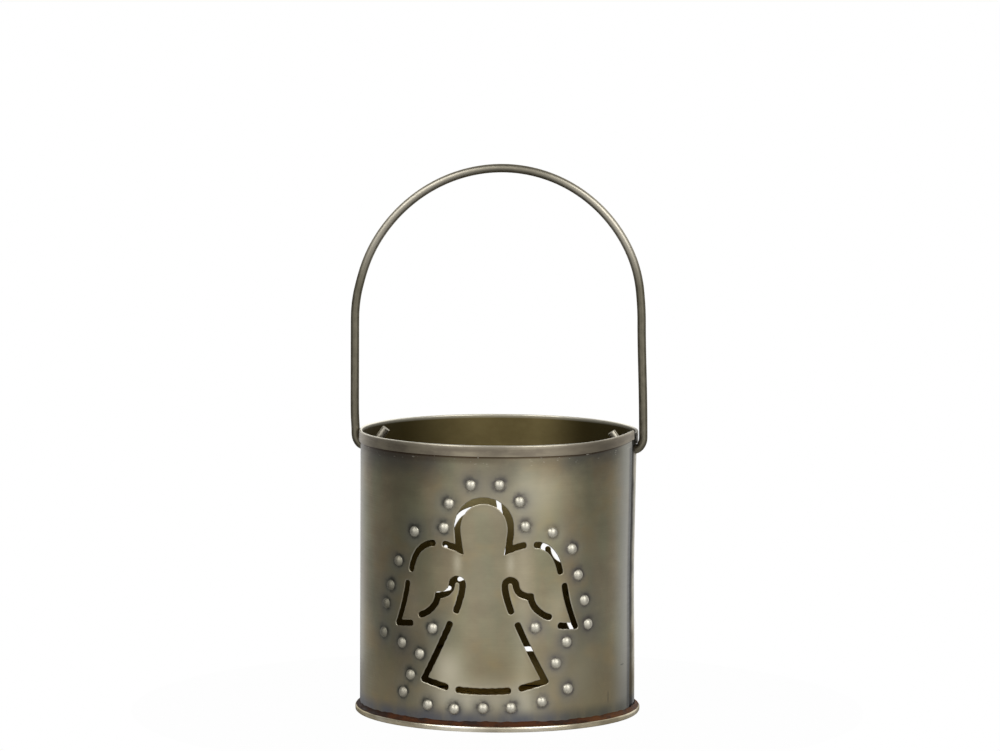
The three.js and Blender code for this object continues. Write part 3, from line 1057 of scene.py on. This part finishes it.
# The pan's floor inside is painted a lighter brass, as painted light where little light reaches it
floor_brass = (0.55, 0.43, 0.19, 1)
pan_material, tree, shader = fresh_material("antique_brass_pan")
spot = node(tree, "ShaderNodeTexCoord").outputs["Object"]
ring_mottle = noise(tree, spot, (90, 90, 180), 2, 0.5)
colour = coated(tree, ring_patina, [
    (ramp(tree, ring_mottle, 0.35, 0.65), ring_brass),
    (attribute(tree, "polish_and_sheen"), ring_polish_and_sheen),
    (attribute(tree, "inside"), floor_brass),
])
feed(tree, shader.inputs["Base Color"], colour)
shader.inputs["Metallic"].default_value = 1
shader.inputs["Specular Tint"].default_value = ring_glance
feed(tree, shader.inputs["Roughness"], ramp(tree, ring_mottle, 0.3, 0.7, 0.34, 0.26))
pan = piece_from("base", pan_points, pan_faces, pan_material)

# Handling has polished the ring in places, and these places also carry painted highlights, each as (how
# strongly, its angle round the pail, its reach)
polished_and_lit_places = ((1.2, -11, 11), (0.7, 20, 11), (0.5, 80, 10), (0.4, -48, 5))
floor_reach = 48.8
pan_reach = np.hypot(pan_points[:, 0], pan_points[:, 1])
pan_turn = np.degrees(np.arctan2(pan_points[:, 0], -pan_points[:, 1]))
polish_and_sheen = sum(strength * soft_bump(pan_turn - angle, reach) for strength, angle, reach in polished_and_lit_places)
paint_number(pan, "polish_and_sheen", np.minimum(polish_and_sheen, 1))
paint_number(pan, "inside", (pan_reach < floor_reach) & (pan_points[:, 2] > sheet / 2))
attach(pan, "pail")
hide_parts("base_pan")

# The sealant is a red-brown lacquer run into the corner between the wall and the pressed ring. It was
# brushed in by hand, so its upper edge wanders and its colour goes from rust to nearly black.
run_overlap = 0.1
run_foot = ring_height - run_overlap
run_height = 3.27
run_front_rise = 0.3
run_gap = 0.02
run_inside = wall_radius + run_gap
run_outside = 50.2
run_hollow = 2
run_climb = 1.15
run_steps = 6
run_segments = 480
# Each wave of its edge is (how deep, how many round the pail, where it starts, and how far and how often
# its spacing is shaken)
run_waves = ((0.09, 7, 0.6, 0, 0), (0.07, 17, 2, 0, 0), (0.09, 39, 0, 1, 5), (0.08, 71, 0, 2, 9))
run_angles = even_angles(run_segments)
run_top = run_height + run_front_rise * np.cos(run_angles)
for depth, count, start, shake, shake_count in run_waves:
    run_top += depth * np.sin(count * run_angles + start + shake * np.sin(shake_count * run_angles))
run_points = []
for share in np.linspace(0, 1, run_steps + 1):
    reach = run_inside + (run_outside - run_inside) * (1 - share) ** run_hollow
    run_points.append(round_pail(reach, run_angles, run_foot + (run_top - run_foot) * share ** run_climb))
run_points.append(round_pail(run_inside, run_angles, run_foot))
run_faces = []
for step in range(len(run_points)):
    run_faces += ring_faces(step, (step + 1) % len(run_points), run_segments)

rust_lacquer = (0.066, 0.022, 0.007, 1)
dark_lacquer = (0.02, 0.01, 0.006, 1)
seam_rust = (0.1, 0.039, 0.012, 1)
# Across the pail, in metres: where it rusts towards the seam, and where it darkens towards the left
rust_from = 0.03
rust_full = 0.043
dark_from = -0.028
dark_full = -0.047
sealant_material, tree, shader = fresh_material("brown_lacquer_run")
spot = node(tree, "ShaderNodeTexCoord").outputs["Object"]
to_right = node(tree, "ShaderNodeSeparateXYZ", None, {"Vector": spot}).outputs["X"]
blots = noise(tree, spot, (120, 120, 300), 5, 0.65)
by_seam = ramp(tree, to_right, rust_from, rust_full, 0, 0.9)
rusted = product(tree, by_seam, ramp(tree, blots, 0.36, 0.58, 0.35, 1))
lacquer = coated(tree, dark_lacquer, [
    (ramp(tree, blots, 0.38, 0.62), rust_lacquer),
    (ramp(tree, to_right, dark_full, dark_from, 0.75, 0), dark_lacquer),
    (rusted, seam_rust),
])
feed(tree, shader.inputs["Base Color"], lacquer)
feed(tree, shader.inputs["Roughness"], ramp(tree, blots, 0.3, 0.7, 0.55, 0.8))
shader.inputs["Specular IOR Level"].default_value = 0.12
add_relief(tree, shader, 0.3, 0.0003, blots)
sealant = piece_from("sealant", np.concatenate(run_points), run_faces, sealant_material, 60)
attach(sealant, "pail")
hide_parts("foot_sealant")

# The bail is one length of brass-plated wire, 3 mm thick, bent by hand into an arch. Each end goes in
# through a hole under the hem and is turned up inside the pail, so that it swings but can't pull out.
wire_radius = 1.5
wire_sides = 28
leg_reach = 51.35
leg_steps = 25
bail_top = 194.1
arch_centre = 139.2
arch_rise = bail_top - wire_radius - arch_centre
arch_steps = 48
bend_radius = leg_reach - middle_radius
bend_height = 4.4
bend_inside = 0.65
bend_width = bend_radius + bend_inside
bend_steps = 14
hook_run = 2.8
hook_from = middle_radius - hook_run
hook_turn = math.radians(55)
hook_steps = 8
hook_tail = 6.2
tail_shares = (0.25, 0.5, 0.75, 0.97)
leg_foot = bail_hole_height + bend_height * math.sqrt(1 - (bend_inside / bend_width) ** 2)
hook_centre = leg_foot - bend_height + bend_radius
right_half = [
    (leg_reach * math.cos(turn), arch_centre + arch_rise * math.sin(turn))
    for turn in np.linspace(math.pi / 2, 0, arch_steps + 1)
]
right_half += [(leg_reach, up) for up in np.linspace(arch_centre, leg_foot, leg_steps + 1)[1:-1]]
right_half += [
    (leg_reach - bend_width * (1 - math.cos(turn)), leg_foot - bend_height * math.sin(turn))
    for turn in np.linspace(0, math.pi / 2, bend_steps + 1)
]
right_half += corner(hook_from, hook_centre, bend_radius, -90, -90 - math.degrees(hook_turn), hook_steps)
tip_x, tip_up = right_half[-1]
right_half += [
    (tip_x - share * hook_tail * math.cos(hook_turn), tip_up + share * hook_tail * math.sin(hook_turn))
    for share in tail_shares
]
wire_line = np.array([(-x, up) for x, up in right_half[:0:-1]] + right_half)

# The bail was bent by eye: its right leg bows in under the arch, its left shoulder is pressed in a
# little, the top of its arch leans right, and the foot of its left leg leans in
bow_height = 141
bow_depth = 0.95
bow_reach_up = 13
bow_reach_down = 26
shoulder_height = 152
shoulder_depth = 0.28
shoulder_reach = 8
arch_lean = 1.2
lean_from = 148
foot_lean = 0.35
foot_lean_height = pail_height - 2
foot_lean_reach = 5
foot_lean_run = 1.5
wire_up = wire_line[:, 1]
on_right = wire_line[:, 0] > 0
bow_reach = np.where(wire_up > bow_height, bow_reach_up, bow_reach_down)
bowed = bow_depth * soft_bump(wire_up - bow_height, bow_reach) * on_right
pressed_in = shoulder_depth * soft_bump(wire_up - shoulder_height, shoulder_reach) * ~on_right
wire_line[:, 0] += arch_lean * share_between(wire_up, lean_from, bail_top) - bowed + pressed_in
on_left_leg = share_between(-wire_line[:, 0], wall_radius, wall_radius + foot_lean_run)
wire_line[:, 0] += foot_lean * on_left_leg * soft_bump(wire_up - foot_lean_height, foot_lean_reach)

# The wire is round, with its cut ends rounded over by rings that are (this much thinner, this far past)
end_rings = [(0.25, 0.1), (0.06, 0.03)]
last = len(wire_line) - 1
sections = [(0, wire_radius - thinner, -past) for thinner, past in end_rings]
sections += [(index, wire_radius, 0) for index in range(last + 1)]
sections += [(last, wire_radius - thinner, past) for thinner, past in end_rings[::-1]]
along = unit(np.gradient(wire_line, axis=0))
travelled = length_along(wire_line)
wire_angles = even_angles(wire_sides)
wire_points = []
wire_places = []
wire_faces = [tuple(range(wire_sides))[::-1]]
for step, (index, radius, past) in enumerate(sections):
    x, up = wire_line[index] + past * along[index]
    ahead_x, ahead_up = along[index]
    aside = radius * np.cos(wire_angles)
    behind = radius * np.sin(wire_angles)
    wire_points.append(np.column_stack([x + aside * ahead_up, behind, up - aside * ahead_x]))
    wire_places.append(np.column_stack([np.full(wire_sides, travelled[index]), aside, behind]))
    if step:
        wire_faces += ring_faces(step - 1, step, wire_sides)
wire_points = np.concatenate(wire_points)
wire_faces.append(tuple(range(len(wire_points) - wire_sides, len(wire_points))))

wire_brass = (0.21, 0.19, 0.14, 1)
wire_patina = (0.152, 0.138, 0.1, 1)
wire_glance = (0.35, 0.33, 0.28, 1)
worn_wire_and_sheen = (0.42, 0.39, 0.32, 1)
cut_steel = (0.48, 0.46, 0.4, 1)
wire_material, tree, shader = fresh_material("antique_brass_wire")
place = attribute(tree, "wire_place", "Vector")
drawn = noise(tree, place, (0.05, 2.2, 2.2), 4, 0.6)
wire_mottle = noise(tree, place, (0.3, 0.6, 0.6), 4, 0.6)
colour = coated(tree, wire_patina, [
    (ramp(tree, wire_mottle, 0.25, 0.75), wire_brass),
    (ramp(tree, drawn, 0.4, 0.7, 0, 0.35), wire_patina),
    (attribute(tree, "worn_and_sheen"), worn_wire_and_sheen),
    (attribute(tree, "cut_end"), cut_steel),
])
feed(tree, shader.inputs["Base Color"], colour)
shader.inputs["Metallic"].default_value = 1
shader.inputs["Specular Tint"].default_value = wire_glance
feed(tree, shader.inputs["Roughness"], ramp(tree, wire_mottle, 0.3, 0.7, 0.37, 0.46))
add_relief(tree, shader, 0.05, 0.0002, drawn)
bail = piece_from("bail_wire", wire_points, wire_faces, wire_material)
paint_place(bail, "wire_place", np.concatenate(wire_places))

# The arch is worn by hands and painted with a highlight, least near its top, and the turned-up ends are
# worn by the wall. Angles round the arch are from its right spring, and the wear and highlight fade out
# between two of them from the top.
arch_top = 90
wear_and_sheen_within = 58
wear_and_sheen_until = 76
least_wear_and_sheen_turn = 84
least_wear_and_sheen_reach = 24
least_wear_and_sheen = 0.2
arch_turn = np.degrees(np.arctan2(wire_points[:, 2] - arch_centre, wire_points[:, 0]))
arch_wear_and_sheen = share_between(np.abs(arch_turn - arch_top), wear_and_sheen_until, wear_and_sheen_within)
arch_wear_and_sheen *= 1 - (1 - least_wear_and_sheen) * soft_bump(arch_turn - least_wear_and_sheen_turn, least_wear_and_sheen_reach)
turned_end = (np.abs(wire_points[:, 0]) < hook_from) & (wire_points[:, 2] < arch_centre)
wire_ring = np.repeat(np.arange(len(sections)), wire_sides)
at_end = (wire_ring < len(end_rings)) | (wire_ring >= len(sections) - len(end_rings))
paint_number(bail, "worn_and_sheen", np.maximum(arch_wear_and_sheen, turned_end))
paint_number(bail, "cut_end", at_end)
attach(bail, "bail")
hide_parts("bail_handle")

# The studio: a small white table under the lantern, a white backdrop behind it, and a room that is dimmer
# at both sides of the camera, with one soft lamp high on each side
table_radius = 130
table_sides = 96
table_drop = 0.02
table_grey = (0.45, 0.45, 0.45, 1)
white = (1, 1, 1, 1)
white_when_seen = 0.985
white_in_metal = 0.14
table_points = [(0, 0, -table_drop)] + [(x, y, -table_drop) for x, y in circle(table_radius, table_sides)]
table_faces = [(0, 1 + index, 1 + (index + 1) % table_sides) for index in range(table_sides)]


def shader_mix(tree, share, first_shader, second_shader):
    made = node(tree, "ShaderNodeMixShader")
    feed(tree, made.inputs[0], share)
    feed(tree, made.inputs[1], first_shader)
    feed(tree, made.inputs[2], second_shader)
    return made.outputs["Shader"]


table_material, tree, shader = fresh_material("white_table")
tree.nodes.remove(shader)
rays = node(tree, "ShaderNodeLightPath").outputs
plain = node(tree, "ShaderNodeBsdfDiffuse", None, {"Color": table_grey})
shining = node(tree, "ShaderNodeEmission", None, {"Color": white, "Strength": 1})
seen = largest(tree, rays["Is Camera Ray"], rays["Is Transmission Ray"])
seen_in_metal = product(tree, rays["Is Glossy Ray"], white_in_metal)
shining_share = largest(tree, product(tree, seen, white_when_seen), seen_in_metal)
surface = shader_mix(tree, shining_share, plain.outputs["BSDF"], shining.outputs["Emission"])
feed(tree, tree.nodes["Material Output"].inputs["Surface"], surface)
floor = piece_from("table", table_points, table_faces, table_material)

# The room's light by its bearing from the camera's side, in degrees towards +X
room_light = [
    (-180, 1), (-160, 1), (-148, 0.95), (-132, 0.48), (-112, 0.3), (-86, 0.22), (-66, 0.21), (-48, 0.52),
    (-22, 1), (0, 0.68), (14, 0.7), (34, 1.15), (52, 1.02), (72, 0.52), (92, 0.28), (110, 0.32),
    (138, 1), (152, 1), (180, 1),
]
world = bpy.data.worlds.new("studio")
bpy.context.scene.world = world
world.use_nodes = True
tree = world.node_tree
tree.nodes.clear()
look = node(tree, "ShaderNodeTexCoord").outputs["Generated"]
look_x, look_y, look_up = node(tree, "ShaderNodeSeparateXYZ", None, {"Vector": look}).outputs
bearing = worked_out(tree, "ARCTAN2", look_x, product(tree, look_y, -1))
bearing_share = node(tree, "ShaderNodeMapRange", None, {
    "Value": bearing,
    "From Min": -math.pi,
    "From Max": math.pi,
}).outputs["Result"]
room = node(tree, "ShaderNodeValToRGB", None, {"Fac": bearing_share})
stops = room.color_ramp.elements
while len(stops) < len(room_light):
    stops.new(0.5)
for stop, (bearing_degrees, level) in zip(stops, room_light):
    stop.position = (bearing_degrees + 180) / 360
    stop.color = (level, level, level, 1)
# The room is brightest above the lantern's own height, and dims towards its ceiling and its floor
room_strength = product(
    tree,
    ramp(tree, look_up, 0.1, 0.35, 1, 1.4),
    ramp(tree, look_up, 0.6, 0.85, 1, 0.3),
    ramp(tree, look_up, -0.65, -0.15, 0.3, 1),
)
room_shine = node(tree, "ShaderNodeBackground", None, {
    "Color": room.outputs["Color"],
    "Strength": room_strength,
})
backdrop = node(tree, "ShaderNodeBackground", None, {"Color": white, "Strength": 1})
rays = node(tree, "ShaderNodeLightPath").outputs
seen = largest(tree, rays["Is Camera Ray"], rays["Is Transmission Ray"])
surroundings = shader_mix(tree, seen, room_shine.outputs["Background"], backdrop.outputs["Background"])
output = node(tree, "ShaderNodeOutputWorld")
feed(tree, output.inputs["Surface"], surroundings)

lamp_places = {"left_lamp": (-0.6, -0.66, 0.88), "right_lamp": (0.66, -0.6, 0.88)}
lamp_aim = (0, 0, 0.08)
lamp_side = 0.65
lamp_power = 5
for lamp_name, lamp_place in lamp_places.items():
    lamp = bpy.data.lights.new(lamp_name, "AREA")
    lamp.shape = "RECTANGLE"
    lamp.size = lamp_side
    lamp.size_y = lamp_side
    lamp.energy = lamp_power
    holder = bpy.data.objects.new(lamp_name, lamp)
    facing_away = (Vector(lamp_place) - Vector(lamp_aim)).to_track_quat("Z", "Y")
    holder.matrix_world = Matrix.Translation(lamp_place) @ facing_away.to_matrix().to_4x4()
    bpy.context.collection.objects.link(holder)

bpy.context.scene.view_settings.view_transform = "Standard"
